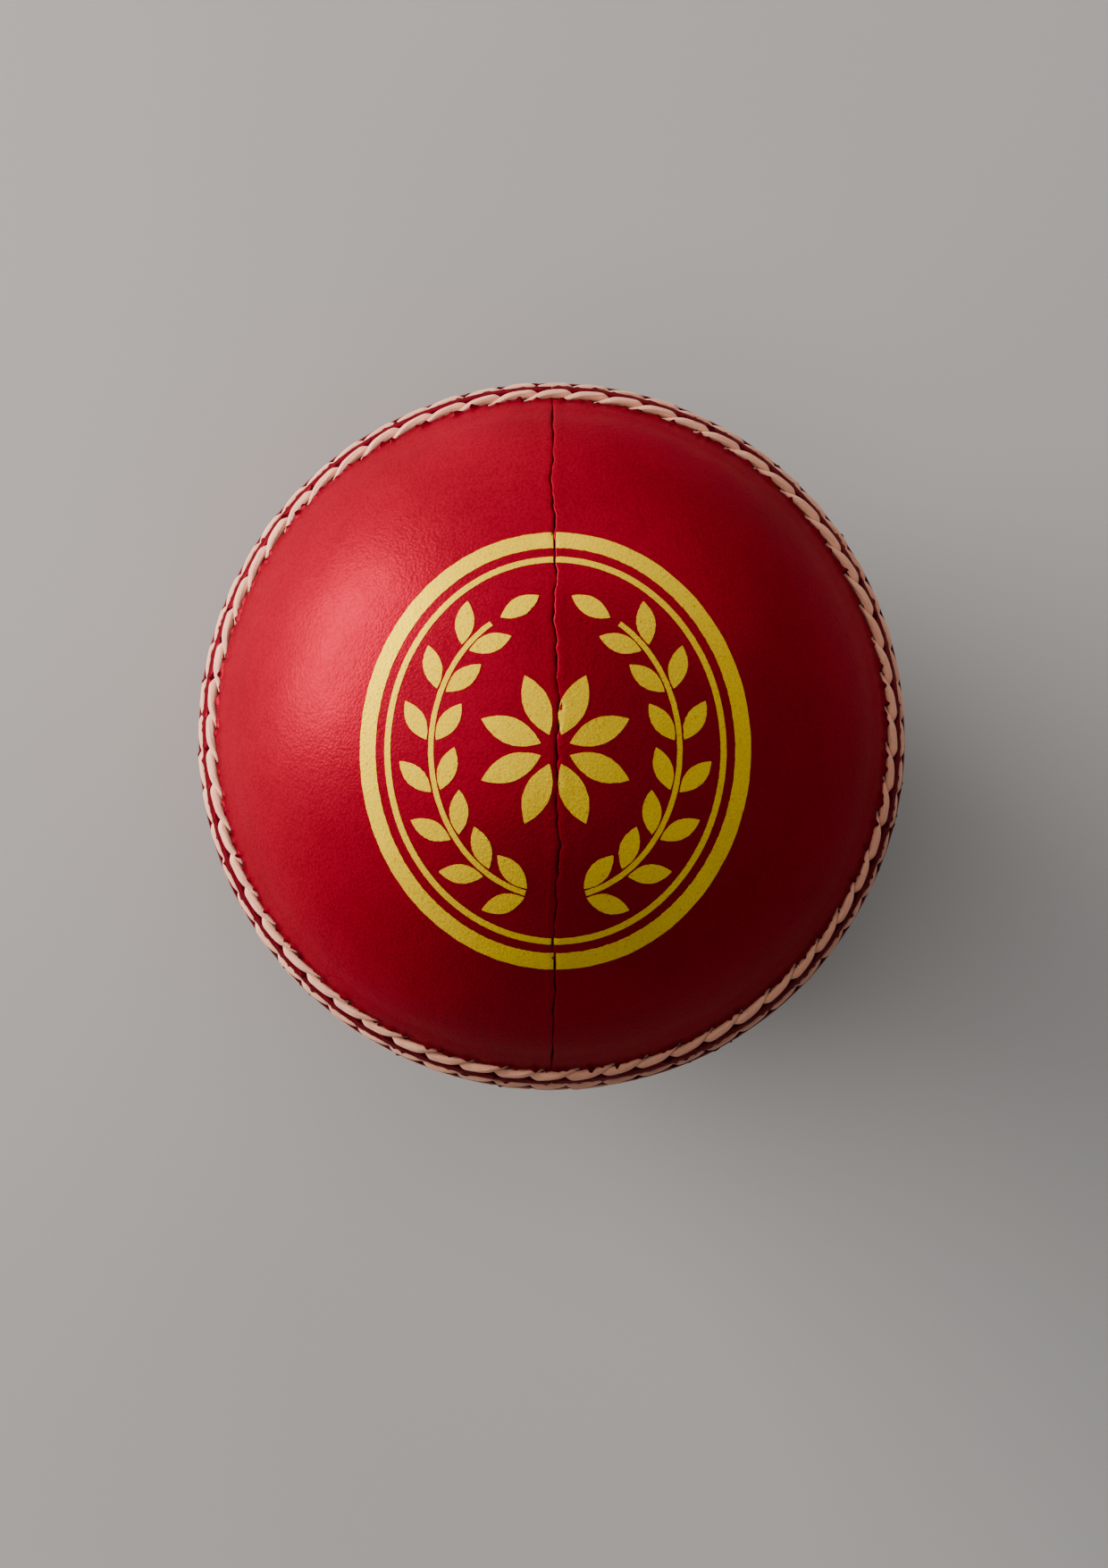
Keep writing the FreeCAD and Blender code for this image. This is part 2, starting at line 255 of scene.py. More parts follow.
def leather(direction, cup):
    """Height of the leather over the plain sphere and how much painted shade darkens it in grooves,
    holes, beside stitches and between rows, along unit vectors.
    """
    x, y, z = (direction * COVER_R).T
    arc = np.arcsin(np.clip(direction[:, 2], -1, 1)) * COVER_R
    angle = np.arctan2(y, x)
    points = direction * COVER_R + 40.0 * cup
    height = swell(arc)
    painted_shade = np.zeros(len(arc))

    # pillows between the rows, and the lips that meet at the joint; painted shade darkens the
    # pillows and the joint groove
    for low, high in zip(ROW_ARCS, ROW_ARCS[1:]):
        pillow = bell(arc - (low + high) / 2, PILLOW_WIDTH)
        height += PILLOW * pillow
        # painted shade on the pillows between the rows
        painted_shade = np.maximum(painted_shade, PILLOW_SHADE * pillow)
    height += JOINT_LIP * bell(arc - 0.42, 0.5)
    joint = bell(arc, JOINT_WIDTH)
    height -= JOINT_DEPTH * joint
    painted_shade = np.maximum(painted_shade, joint)

    # the leather is pressed down under each stitch and crowds up, torn, against its edges; painted
    # shade darkens it along the stitch edges, in a band beside each row that reaches further on the
    # pole side of the outer row, and in the stitch holes
    torn = np.maximum(0, waves(points, 0.85, 30, 4))
    rng = np.random.default_rng(SEED + 100 + cup)
    for place in ROW_ARCS:
        gap = stitch_gap(angle, arc - place)
        pressed = 1 - smooth(-0.16, 0.10, gap)
        crowded = bell(gap - 0.20, 0.26) * (1 - pressed)
        ragged = (TORN + OUTER_TORN * (arc > ROW_ARCS[-1])) * torn
        height += (LIP + ragged) * crowded - CHANNEL_DEPTH * pressed
        painted_shade = np.maximum(painted_shade, 1 - smooth(0.02, 0.34 + 2 * ragged, gap))
        clear = np.maximum(gap, 0)
        # painted shade in a band beside the row, reaching further on the pole side of the outer row
        beside = STITCH_SHADE * np.exp(-clear / STITCH_SHADE_REACH)
        poleward = POLE_SHADE * np.exp(-clear / POLE_SHADE_REACH) * (arc > ROW_ARCS[-1])
        painted_shade = np.maximum(np.maximum(painted_shade, beside), poleward)
        strength = rng.uniform(0.6, 1.4, (2, STITCHES))
        for end, (sense, across) in enumerate(zip((-1, 1), HOLES_ACROSS)):
            shifted = angle - sense * STITCH_REACH * math.pi / STITCHES
            along, number = stitch_phase(shifted, arc)
            hole = bell(along, HOLE_WIDTH) * bell(arc - place - across, HOLE_WIDTH)
            hole = hole * strength[end][number]
            height -= HOLE_DEPTH * hole
            painted_shade = np.maximum(painted_shade, np.minimum(1, hole))
    height -= 0.04 * bell(arc - ROW_ARCS[-1] - 4.6, 1.5)

    # the quarter seam: a fine ragged crack between slightly raised edges, darkened with painted
    # shade
    distance = np.abs(x - wander(y, cup))
    uneven = 0.75 + 0.30 * np.sin(0.9 * y + 1) * np.sin(0.37 * y) + 0.25 * np.sin(2.7 * y + 2)
    inside = 1 - 0.6 * (1 - smooth(ROW_ARCS[-1] - 1, ROW_ARCS[-1] + 6, arc))
    groove = np.exp(-((distance / (GROOVE_HALF * (0.7 + 0.35 * uneven))) ** 1.6)) * inside
    height -= GROOVE_DEPTH * uneven * groove
    height += SEAM_RIDGE * bell(distance - 0.6, 0.5) * inside
    painted_shade = np.maximum(painted_shade, groove * np.clip(uneven, 0.3, 1))

    for rise, wavelength, count, seed in RELIEF:
        height += rise * waves(points, wavelength, count, seed)
    return height, painted_shade


def to_world(points, cup):
    """From a cup's own axes in millimetres to the row's frame in metres."""
    points = points * MM
    if cup == 0:
        return points
    x, y, z = points.T
    return np.column_stack([y, x, -z])


# ---------------------------------------------------------------- meshes


def signed_volume(points, faces):
    total = 0.0
    for face in faces:
        first = points[face[:, 0]]
        for n in range(1, face.shape[1] - 1):
            across = np.cross(points[face[:, n]], points[face[:, n + 1]])
            total += np.einsum("ij,ij->i", first, across).sum()
    return total


def make_piece(name, points, faces, attributes, node, material, sharp=None):
    """Closed mesh object that stands for one or more CAD nodes."""
    if signed_volume(points, faces) < 0:
        faces = [face[:, ::-1] for face in faces]
    mesh = bpy.data.meshes.new(name)
    polygons = [polygon for face in faces for polygon in face.tolist()]
    mesh.from_pydata(points.tolist(), [], polygons)
    mesh.polygons.foreach_set("use_smooth", [True] * len(polygons))
    for key, values in attributes.items():
        kind = "FLOAT" if values.ndim == 1 else "FLOAT_VECTOR"
        layer = mesh.attributes.new(key, kind, "POINT")
        field = "value" if values.ndim == 1 else "vector"
        layer.data.foreach_set(field, np.ascontiguousarray(values, dtype=np.float32).ravel())
    if sharp:
        mesh.set_sharp_from_angle(angle=math.radians(sharp))
    mesh.materials.append(material)
    mesh.update()
    piece = bpy.data.objects.new(name, mesh)
    bpy.context.scene.collection.objects.link(piece)
    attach(piece, "root")
    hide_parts(*([node] if isinstance(node, str) else node))
    return piece


def row_arcs_of_mesh():
    """Arcs of the mesh rows from the joint towards the pole: fine over the seam, then wider."""
    arcs = [JOINT_GAP, 0.08, 0.15, 0.24, 0.36]
    while arcs[-1] < ROW_ARCS[-1] + FINE_END:
        arcs.append(arcs[-1] + FINE_STEP)
    step = FINE_STEP
    end = COVER_R * math.pi / 2
    while arcs[-1] + 1.5 * step < end:
        step = min(step * STEP_GROWTH, LONGEST_STEP)
        arcs.append(arcs[-1] + step)
    return arcs


def column_angles():
    """Angles of the mesh columns over half a turn, closer together at both ends."""
    half = COLUMNS // 2
    coarse = math.pi / (COLUMNS - 16)
    steps = []
    step = EDGE_STEP
    while step < coarse and len(steps) < half:
        steps.append(step)
        step *= EDGE_GROWTH
    rest = half - len(steps)
    steps += [(math.pi / 2 - sum(steps)) / rest] * rest
    quarter = np.concatenate([[0.0], np.cumsum(steps)])
    return np.concatenate([quarter, math.pi - quarter[-2::-1]]) - math.pi / 2


def quarter_grid():
    """Unit vectors and faces of the plain outer surface of a quarter, and its boundary loop."""
    arcs = row_arcs_of_mesh()
    angles = column_angles()
    vectors, faces3, faces4, rows = [], [], [], []
    total = 0
    skip = 1
    for arc in arcs:
        latitude = arc / COVER_R
        while COVER_R * math.cos(latitude) < THINNING_R / skip and skip < 2 ** HALVINGS:
            skip *= 2
        used = angles[::skip]
        vectors.append(np.column_stack([
            np.cos(latitude) * np.cos(used),
            np.cos(latitude) * np.sin(used),
            np.full(len(used), np.sin(latitude)),
        ]))
        rows.append(np.arange(total, total + len(used)))
        total += len(used)
    vectors.append(np.array([[0.0, 0.0, 1.0]]))
    for low, high in zip(rows, rows[1:]):
        if len(low) == len(high):
            faces4.append(np.column_stack([low[:-1], low[1:], high[1:], high[:-1]]))
        else:
            left, middle, right = low[:-2:2], low[1:-1:2], low[2::2]
            faces3.append(np.column_stack([left, middle, high[:-1]]))
            faces3.append(np.column_stack([middle, high[1:], high[:-1]]))
            faces3.append(np.column_stack([middle, right, high[1:]]))
    top = np.full(len(rows[-1]) - 1, total)
    faces3.append(np.column_stack([rows[-1][:-1], rows[-1][1:], top]))
    up = [row[-1] for row in rows[1:]]
    down = [row[0] for row in rows[:0:-1]]
    loop = np.array(list(rows[0]) + up + [total] + down)
    return np.concatenate(vectors), np.concatenate(faces4), np.concatenate(faces3), loop


GRID = quarter_grid()


def leather_quarter(name, cup, side, material):
    """One quarter of the cover: detailed outer face, plain walls and inner face."""
    vectors, faces4, faces3, loop = GRID
    vectors = vectors * [side, 1, 1]
    flat = vectors * COVER_R
    shift = (wander(flat[:, 1], cup) + side * SEAM_GAP / 2) * bell(flat[:, 0], SHIFT_REACH)
    flat[:, 0] += shift
    vectors = flat / np.linalg.norm(flat, axis=1)[:, None]
    height, painted_shade = leather(vectors, cup)
    outer = vectors * (COVER_R + height)[:, None]

    edge = vectors[loop]
    centre = np.array([side, 0.0, 1.0]) / math.sqrt(2)
    inner = [edge]
    for n in range(1, INNER_RINGS):
        mixed = edge * (1 - n / INNER_RINGS) + centre * (n / INNER_RINGS)
        inner.append(mixed / np.linalg.norm(mixed, axis=1)[:, None])
    inner = np.concatenate(inner + [centre[None]]) * (INNER_R + 0.02)
    start = len(outer)
    size = len(loop)
    rings = [loop]
    rings += [np.arange(start + n * size, start + (n + 1) * size) for n in range(INNER_RINGS)]
    quads = [faces4]
    for low, high in zip(rings, rings[1:]):
        after_low, after_high = np.roll(low, -1), np.roll(high, -1)
        quads.append(np.column_stack([after_low, low, high, after_high]))
    last = rings[-1]
    tip = np.full(size, start + INNER_RINGS * size)
    fan = np.column_stack([np.roll(last, -1), last, tip])
    points = to_world(np.concatenate([outer, inner]), cup)
    # the hidden inner face gets full painted shade
    painted_shade = np.concatenate([painted_shade, np.ones(len(inner))])
    faces = [np.concatenate(quads), np.concatenate([faces3, fan])]
    return make_piece(name, points, faces, {"painted_shade": painted_shade}, name, material, sharp=50)


def stitch_row(name, cup, row, material):
    """Sixty stitches of waxed thread: fat round heads, and long tails that dive beside the next."""
    rng = np.random.default_rng(SEED + 1000 + 10 * cup + row)
    arc = ROW_ARCS[row]
    base = float(swell(arc))
    rings, around = STITCH_RINGS, STITCH_SIDES
    t = np.linspace(0, 1, rings)[:, None]
    psi = np.linspace(0, 2 * math.pi, around, endpoint=False)[None, :]
    one = np.arange(rings * around).reshape(rings, around)
    quads = np.stack([
        one[:-1], np.roll(one[:-1], -1, axis=1), np.roll(one[1:], -1, axis=1), one[1:],
    ], axis=-1).reshape(-1, 4)
    head_fan = np.column_stack([np.roll(one[0], -1), one[0], np.full(around, rings * around)])
    tail_fan = np.column_stack([one[-1], np.roll(one[-1], -1), np.full(around, rings * around + 1)])
    count = rings * around + 2
    points, faces4, faces3, fibre, tone, sunk = [], [], [], [], [], []
    radius = COVER_R * math.cos(arc / COVER_R)
    for number in range(STITCHES):
        length = STITCH_REACH * 2 * math.pi * radius / STITCHES * rng.uniform(0.98, 1.03)
        middle, half = stitch_line(t)
        along = length * (t - 0.5) + rng.normal(0, 0.05)
        across = middle + rng.normal(0, 0.04) + rng.normal(0, 0.04) * (t - 0.5)
        wide = half * rng.uniform(0.96, 1.06)
        twist = rng.uniform(0.7, 1.3)
        spin = rng.uniform(0, 2 * math.pi)
        rise = smooth(-0.02, 0.24, t) * (1 - smooth(0.60, 1.08, t))
        lift = base + SUNK_END + (CENTRE_LIFTS[row] * rng.uniform(0.9, 1.1) - SUNK_END) * rise
        tall = STITCH_FLATNESS * wide
        turned = psi + twist * (t - 0.5) + spin
        flute = np.ones_like(turned)
        for folds, depth, phase in FLUTES:
            flute += depth * np.cos(folds * turned + phase)
        flute += 0.012 * np.sin(9.0 * t + 3 * psi + spin)
        side = wide * flute * np.cos(psi)
        up = tall * flute * np.sin(psi)
        tilt = math.atan(STITCH_SLANT / length)
        u = along - side * math.sin(tilt)
        a = across + side * math.cos(tilt)
        k = lift + up
        u = np.append(u.ravel(), [along[0, 0], along[-1, 0]])
        a = np.append(a.ravel(), [across[0, 0], across[-1, 0]])
        k = np.append(k.ravel(), [lift[0, 0] - 0.05, lift[-1, 0] - 0.05])
        angle = 2 * math.pi * number / STITCHES + u / radius
        latitude = (arc + a) / COVER_R
        reach = COVER_R + k
        points.append(np.column_stack([
            reach * np.cos(latitude) * np.cos(angle),
            reach * np.cos(latitude) * np.sin(angle),
            reach * np.sin(latitude),
        ]))
        start = number * count
        faces4.append(quads + start)
        faces3.append(np.concatenate([head_fan, tail_fan]) + start)
        round_mm = np.append((turned * 0.5).ravel(), [0, 0])
        along_mm = np.append(np.repeat(along, around), [0, 0])
        fibre.append(np.column_stack([round_mm, along_mm, np.full(count, 7.0 * number)]))
        tone.append(np.full(count, rng.uniform(0, 1)))
        # painted shade on the thread where it sinks into the leather
        sunk.append(1 - smooth(base - 0.15, base + 0.42, k))
    points = to_world(np.concatenate(points), cup)
    attributes = {
        "fibre": np.concatenate(fibre),
        "tone": np.concatenate(tone),
        "painted_shade": np.concatenate(sunk),
    }
    faces = [np.concatenate(faces4), np.concatenate(faces3)]
    return make_piece(name, points, faces, attributes, name, material)


# ---------------------------------------------------------------- the foil mark


def ragged_edge(rng, count):
    """Small random waves along one edge of a strip of foil."""
    step = np.arange(count)
    return sum(
        rng.normal(0, FRAY) * np.cos(rng.uniform(0.3, 2.2) * step + rng.uniform(0, 6))
        for _ in range(FRAY_WAVES)
    )


def strip(middle, half, number):
    """Closed thin film over a strip of the upper cup, from its middle line and half widths."""
    ahead = np.gradient(middle, axis=0)
    ahead /= np.linalg.norm(ahead, axis=1)[:, None]
    normal = np.column_stack([-ahead[:, 1], ahead[:, 0]])
    place = np.linspace(-1, 1, STRIP_COLUMNS)
    rng = np.random.default_rng(SEED + 500 + number)
    narrow = np.minimum(1, half / 0.4)
    low = -half + ragged_edge(rng, len(middle)) * narrow
    high = half + ragged_edge(rng, len(middle)) * narrow
    offset = low[:, None] + (high - low)[:, None] * (place[None, :] + 1) / 2
    flat = MARK_CENTRE + middle[:, None, :] + offset[:, :, None] * normal[:, None, :]
    x, y = flat.reshape(-1, 2).T
    z = np.sqrt(np.maximum(COVER_R ** 2 - x ** 2 - y ** 2, 1))
    direction = np.column_stack([x, y, z]) / COVER_R
    height, painted_shade = leather(direction, 0)
    top = direction * (COVER_R + height + FOIL_LIFT)[:, None]
    bottom = direction * (COVER_R + height - FOIL_SINK)[:, None]
    index = np.arange(len(x)).reshape(len(middle), STRIP_COLUMNS)
    corners = [index[:-1, :-1], index[:-1, 1:], index[1:, 1:], index[1:, :-1]]
    quads = np.stack(corners, axis=-1).reshape(-1, 4)
    under = quads[:, ::-1] + len(x)
    rim = np.concatenate([index[0, :-1], index[:-1, -1], index[-1, :0:-1], index[:0:-1, 0]])
    wall = np.column_stack([np.roll(rim, -1), rim, rim + len(x), np.roll(rim, -1) + len(x)])
    points, faces = np.concatenate([top, bottom]), np.concatenate([quads, under, wall])
    return points, faces, np.concatenate([painted_shade, painted_shade])


def seam_side(side, rx, ry, at_top):
    """Angle on an ellipse where it reaches the bare edge of the quarter seam."""
    y = MARK_CENTRE[1] + (ry if at_top else -ry)
    gap = float(wander(np.array([y]), 0)[0]) - MARK_CENTRE[0] + side * (GROOVE_HALF + 0.05)
    angle = math.acos(gap / rx)
    return angle if at_top else -angle


def ring_strips(rx, ry, width):
    """The two halves of an oval band, on both sides of the quarter seam."""
    mid_x, mid_y = rx - width / 2, ry - width / 2
    right = (seam_side(1, mid_x, mid_y, False), seam_side(1, mid_x, mid_y, True))
    left = (seam_side(-1, mid_x, mid_y, True), 2 * math.pi + seam_side(-1, mid_x, mid_y, False))
    for first, last in (right, left):
        turn = np.linspace(first, last, RING_POINTS)
        middle = np.column_stack([mid_x * np.cos(turn), mid_y * np.sin(turn)])
        yield middle, np.full(RING_POINTS, width / 2)


def leaf_strip(base, length, half, angle):
    """Pointed leaf from its base, at an angle from the x axis."""
    t = np.linspace(0.0, 1.0, LEAF_POINTS)
    way = np.array([math.cos(math.radians(angle)), math.sin(math.radians(angle))])
    width = half * (1 - (2 * t - 1) ** 2) + 0.03
    return np.array(base)[None, :] + t[:, None] * length * way[None, :], width


def branch_strips(side):
    """Leaves in pairs along a thin stem, on the right for side 1 and on the left for side -1."""
    for n in range(WREATH_PAIRS + 1):
        turn = math.radians(WREATH_FIRST + WREATH_STEP * n)
        middle = np.array([WREATH_RX * math.cos(turn), WREATH_RY * math.sin(turn)])
        heading = np.array([-WREATH_RX * math.sin(turn), WREATH_RY * math.cos(turn)])
        heading /= np.linalg.norm(heading)
        growth = math.degrees(math.atan2(heading[1], heading[0]))
        outward = np.array([heading[1], -heading[0]])
        if n == WREATH_PAIRS:
            yield mirrored(leaf_strip(middle, LEAF_LENGTH, LEAF_HALF, growth), side)
            continue
        for edge in (1, -1):
            base = middle + outward * edge * LEAF_OFFSET
            leaf = leaf_strip(base, LEAF_LENGTH, LEAF_HALF, growth - edge * LEAF_SPLAY)
            yield mirrored(leaf, side)
    last = WREATH_FIRST + WREATH_STEP * (WREATH_PAIRS - 0.25)
    turn = np.radians(np.linspace(WREATH_FIRST, last, STEM_POINTS))
    stem = np.column_stack([WREATH_RX * np.cos(turn), WREATH_RY * np.sin(turn)])
    yield mirrored((stem, np.full(STEM_POINTS, STEM_HALF)), side)


def mirrored(shape, side):
    """A strip as it is for side 1, and mirrored in the y axis for side -1."""
    middle, half = shape
    return middle * [side, 1], half


def foil_mark(material):
    """The whole mark: two oval rings, two branches and the rosette, as separate strips of film."""
    shapes = []
    for rx, ry, width in RINGS:
        shapes += list(ring_strips(rx, ry, width))
    shapes += list(branch_strips(1)) + list(branch_strips(-1))
    for n in range(PETALS):
        angle = 360.0 * (n + 0.5) / PETALS
        turn = math.radians(angle)
        base = (ROSETTE_HOLE * math.cos(turn), ROSETTE_HOLE * math.sin(turn))
        shapes.append(leaf_strip(base, ROSETTE_R - ROSETTE_HOLE, PETAL_HALF, angle))
    points, faces, painted_shade = [], [], []
    start = 0
    for number, (middle, half) in enumerate(shapes):
        p, f, c = strip(middle, half, number)
        if signed_volume(p, [f]) < 0:
            f = f[:, ::-1]
        points.append(p)
        faces.append(f + start)
        painted_shade.append(c)
        start += len(p)
    world = to_world(np.concatenate(points), 0)
    attributes = {"painted_shade": np.concatenate(painted_shade)}
    return make_piece("foil_mark", world, [np.concatenate(faces)], attributes,
                      "foil_mark", material, sharp=50)


# ---------------------------------------------------------------- materials


class Nodes:
    """Short way to build a node material."""

    def __init__(self, name):
        self.material = bpy.data.materials.new(name)
        self.material.use_nodes = True
        self.tree = self.material.node_tree
        self.shader = self.tree.nodes["Principled BSDF"]

    def add(self, kind, inputs=None, **settings):
        node = self.tree.nodes.new(kind)
        for key, value in settings.items():
            setattr(node, key, value)
        for key, value in (inputs or {}).items():
            if isinstance(value, bpy.types.NodeSocket):
                self.tree.links.new(value, node.inputs[key])
            else:
                node.inputs[key].default_value = value
        return node

    def place(self):
        return self.add("ShaderNodeTexCoord").outputs["Object"]

    def attribute(self, name, output="Fac"):
        return self.add("ShaderNodeAttribute", attribute_name=name).outputs[output]

    def noise(self, where, scale, detail=4.0, rough=0.55, distort=0.0):
        return self.add("ShaderNodeTexNoise", {
            "Vector": where,
            "Scale": scale,
            "Detail": detail,
            "Roughness": rough,
            "Distortion": distort,
        }).outputs["Fac"]

    def cells(self, where, scale, feature="F1"):
        node = self.add("ShaderNodeTexVoronoi", {"Vector": where, "Scale": scale}, feature=feature)
        return node.outputs["Distance"]

    def ramp(self, value, *stops):
        """Colour ramp of (position, colour) stops; a plain number stands for a grey."""
        node = self.add("ShaderNodeValToRGB", {"Fac": value})
        elements = node.color_ramp.elements
        while len(elements) < len(stops):
            elements.new(0.5)
        for element, (position, colour) in zip(elements, stops):
            rgb = colour if isinstance(colour, tuple) else (colour, colour, colour)
            element.position = position
            element.color = (*rgb, 1)
        return node.outputs["Color"]

    def mix(self, factor, first, second, blend="MIX"):
        node = self.add("ShaderNodeMix", data_type="RGBA", blend_type=blend)
        for index, value in ((0, factor), (6, first), (7, second)):
            if isinstance(value, bpy.types.NodeSocket):
                self.tree.links.new(value, node.inputs[index])
            elif index == 0:
                node.inputs[index].default_value = value
            else:
                node.inputs[index].default_value = (*value, 1)
        return node.outputs[2]

    def math(self, operation, first, second):
        return self.add("ShaderNodeMath", {0: first, 1: second}, operation=operation).outputs[0]

    def scaled(self, value, factor, offset):
        return self.math("ADD", self.math("MULTIPLY", value, factor), offset)

    def bump(self, height, distance, strength=1.0, normal=None):
        inputs = {"Height": height, "Distance": distance, "Strength": strength}
        if normal is not None:
            inputs["Normal"] = normal
        return self.add("ShaderNodeBump", inputs).outputs["Normal"]

    def surface(self, **inputs):
        for key, value in inputs.items():
            socket = self.shader.inputs[key.replace("_", " ")]
            if isinstance(value, bpy.types.NodeSocket):
                self.tree.links.new(value, socket)
            else:
                socket.default_value = value
        return self.material


def grain(n, where):
    """Pebbled grain of polished ball leather: rounded cells bent out of line, and finer pores."""
    bend = n.add("ShaderNodeTexNoise", {"Vector": where, "Scale": 1300.0, "Detail": 2.0})
    bend = bend.outputs["Color"]
    bend = n.add("ShaderNodeVectorMath", {0: bend, "Scale": 0.0003}, operation="SCALE").outputs[0]
    bent = n.add("ShaderNodeVectorMath", {0: where, 1: bend}, operation="ADD").outputs[0]
    pebble = n.cells(bent, 3500, "SMOOTH_F1")
    fine = n.noise(where, 6000, 3.0, 0.6)
    return pebble, fine


def leather_material():
    n = Nodes("red_leather")
    where = n.place()
    pebble, fine = grain(n, where)
    patch = n.noise(where, 60, 4.0, 0.6)
    wave = n.noise(where, 380, 3.0, 0.5)
    colour = n.ramp(patch, (0.30, (0.22, 0.0006, 0.0115)), (0.72, (0.29, 0.0009, 0.0165)))
    colour = n.mix(n.ramp(pebble, (0.25, 0.0), (0.65, 0.30)), colour, (0.12, 0.0004, 0.0055))
    # painted shade from the mesh's shade mask darkens the leather
    darkening = n.ramp(n.attribute("painted_shade"), (0.15, 0.0), (0.85, 0.86))
    colour = n.mix(darkening, colour, (0.022, 0.001, 0.003))
    rough = n.scaled(wave, 0.14, 0.32)
    normal = n.bump(pebble, 0.00008, 0.36)
    normal = n.bump(fine, 0.00003, 0.35, normal)
    return n.surface(Base_Color=colour, Roughness=rough, Normal=normal, Metallic=0.28,
                     Specular_IOR_Level=0.03, Specular_Tint=(1.0, 0.08, 0.12, 1))


def thread_material():
    n = Nodes("waxed_thread")
    fibre = n.attribute("fibre", "Vector")
    stretched = n.add("ShaderNodeMapping", {"Vector": fibre, "Scale": (7.0, 0.55, 1.0)})
    strand = n.noise(stretched.outputs["Vector"], 3.0, 5.0, 0.65)
    darkening = n.noise(n.place(), 420, 3.0, 0.6)
    tone = n.attribute("tone")
    tones = ((0.0, (0.84, 0.345, 0.205)), (0.5, (0.90, 0.39, 0.235)), (1.0, (0.96, 0.435, 0.27)))
    colour = n.ramp(tone, *tones)
    colour = n.mix(n.ramp(strand, (0.34, 0.55), (0.62, 0.0)), colour, (0.50, 0.19, 0.11))
    colour = n.mix(n.ramp(darkening, (0.52, 0.0), (0.78, 0.45)), colour, (0.58, 0.19, 0.12))
    # painted shade at the foot of each stitch, where it sinks into the leather
    foot = n.ramp(n.attribute("painted_shade"), (0.30, 0.0), (1.0, 0.92))
    colour = n.mix(foot, colour, (0.13, 0.015, 0.015))
    normal = n.bump(strand, 0.00012, 0.6)
    return n.surface(Base_Color=colour, Roughness=n.scaled(strand, 0.2, 0.45),
                     Normal=normal, Sheen_Weight=0.25, Sheen_Roughness=0.5)


def foil_material():
    n = Nodes("gold_foil")
    where = n.place()
    pebble, fine = grain(n, where)
    cloud = n.noise(where, 150, 3.0, 0.6)
    speck = n.noise(where, 3600, 3.0, 0.7)
    colour = n.ramp(cloud, (0.32, (0.80, 0.53, 0.003)), (0.68, (0.88, 0.61, 0.005)))
    colour = n.mix(n.ramp(fine, (0.36, 0.55), (0.56, 0.0)), colour, (0.56, 0.34, 0.003))
    bare = n.ramp(pebble, (0.46, 0.0), (0.66, 1.0))
    worn = n.math("MULTIPLY", bare, n.ramp(speck, (0.52, 0.0), (0.64, 1.0)))
    colour = n.mix(n.math("MULTIPLY", worn, 0.6), colour, (0.30, 0.05, 0.006))
    # painted shade on the foil in the leather's grooves
    darkening = n.ramp(n.attribute("painted_shade"), (0.3, 0.0), (1.0, 0.8))
    colour = n.mix(darkening, colour, (0.05, 0.004, 0.002))
    rough = n.scaled(fine, 0.3, 0.28)
    normal = n.bump(pebble, 0.00008, 0.36)
    normal = n.bump(fine, 0.00005, 0.45, normal)
    return n.surface(Base_Color=colour, Roughness=rough, Normal=normal, Metallic=0.14,
                     Specular_IOR_Level=0.06, Specular_Tint=(1.0, 0.75, 0.10, 1))


def cork_material():
    n = Nodes("cork")
    where = n.place()
    grains = n.cells(where, 700)
    blend = n.noise(where, 350, 5.0, 0.65)
    tones = ((0.30, (0.28, 0.15, 0.07)), (0.55, (0.47, 0.29, 0.15)), (0.75, (0.60, 0.41, 0.24)))
    colour = n.ramp(blend, *tones)
    colour = n.mix(n.ramp(grains, (0.45, 0.0), (0.70, 0.75)), colour, (0.14, 0.07, 0.03))
    return n.surface(Base_Color=colour, Roughness=n.scaled(blend, 0.2, 0.7),
                     Normal=n.bump(grains, 0.0004, 0.5))


def wool_material():
    n = Nodes("wound_wool")
    where = n.place()
    bands = n.add("ShaderNodeTexWave", {
        "Vector": where, "Scale": 260.0, "Distortion": 7.0, "Detail": 3.0, "Detail Scale": 1.2,
    }, wave_type="BANDS", bands_direction="DIAGONAL").outputs["Fac"]
    fuzz = n.noise(where, 2600, 4.0, 0.7)
    tones = ((0.15, (0.30, 0.25, 0.18)), (0.60, (0.62, 0.55, 0.44)), (0.95, (0.72, 0.66, 0.55)))
    colour = n.ramp(bands, *tones)
    colour = n.mix(n.ramp(fuzz, (0.35, 0.5), (0.6, 0.0)), colour, (0.40, 0.33, 0.25))
    normal = n.bump(fuzz, 0.0001, 0.5, n.bump(bands, 0.0004, 0.7))
    return n.surface(Base_Color=colour, Roughness=n.scaled(fuzz, 0.15, 0.8),
                     Normal=normal, Sheen_Weight=0.3)


def nucleus_material():
    n = Nodes("cork_and_rubber")
    where = n.place()
    flecks = n.cells(where, 620)
    blend = n.noise(where, 900, 4.0, 0.6)
    tones = ((0.22, (0.34, 0.20, 0.10)), (0.42, (0.12, 0.07, 0.045)), (0.8, (0.05, 0.035, 0.03)))
    colour = n.ramp(flecks, *tones)
    colour = n.mix(n.ramp(blend, (0.4, 0.0), (0.7, 0.5)), colour, (0.20, 0.13, 0.08))
    return n.surface(Base_Color=colour, Roughness=n.scaled(blend, 0.25, 0.5),
                     Normal=n.bump(flecks, 0.0003, 0.4))


def lining_material():
    n = Nodes("split_leather")
    where = n.place()
    fibres = n.noise(where, 1500, 5.0, 0.7, 0.8)
    colour = n.ramp(fibres, (0.3, (0.30, 0.17, 0.09)), (0.7, (0.50, 0.33, 0.20)))
    return n.surface(Base_Color=colour, Roughness=n.scaled(fibres, 0.2, 0.7),
                     Normal=n.bump(fibres, 0.0002, 0.5))


